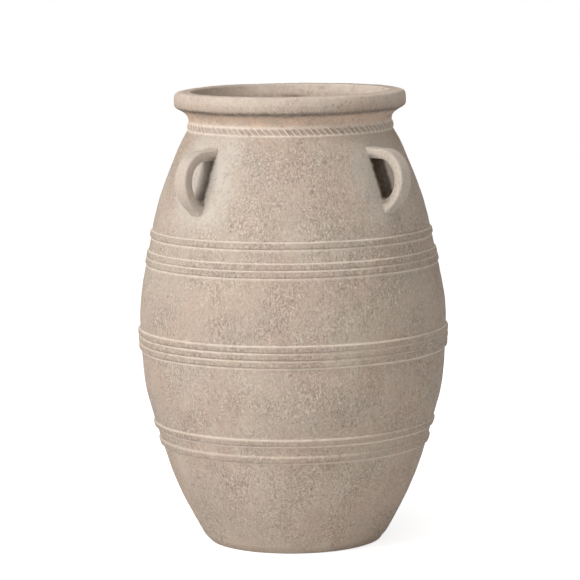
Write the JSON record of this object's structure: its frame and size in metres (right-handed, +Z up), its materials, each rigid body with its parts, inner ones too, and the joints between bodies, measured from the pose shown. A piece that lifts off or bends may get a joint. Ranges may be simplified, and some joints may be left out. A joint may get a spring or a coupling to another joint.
{
  "type": "greek pithos",
  "caption": "Tall oval clay storage jar with a small flat foot, raised cordons, ear handles on the shoulder and a wide rolled rim.",
  "frame": {"origin": "middle of the foot's flat underside, on the jar's axis", "axes": "+Z up along the jar's axis, -Y the front between two handles, +X to the right"},
  "size_m": [0.5241, 0.5242, 0.76],
  "materials": {
    "clay": "unglazed, weathered and lime washed, pitted and matt"
  },
  "bodies": {
    "root": {"base_slab": "clay", "lower_wall": "clay", "lower_belly": "clay", "upper_belly": "clay", "shoulder": "clay", "neck": "clay", "rim": "clay", "neck_rope": "clay", "lower_cordon_below": "clay", "lower_cordon_above": "clay", "middle_cordon": "clay", "upper_cordon_pair": "clay", "upper_cordon_single": "clay", "handle_front_left": "clay", "handle_front_right": "clay", "handle_back_right": "clay", "handle_back_left": "clay"}
  },
  "joints": []
}
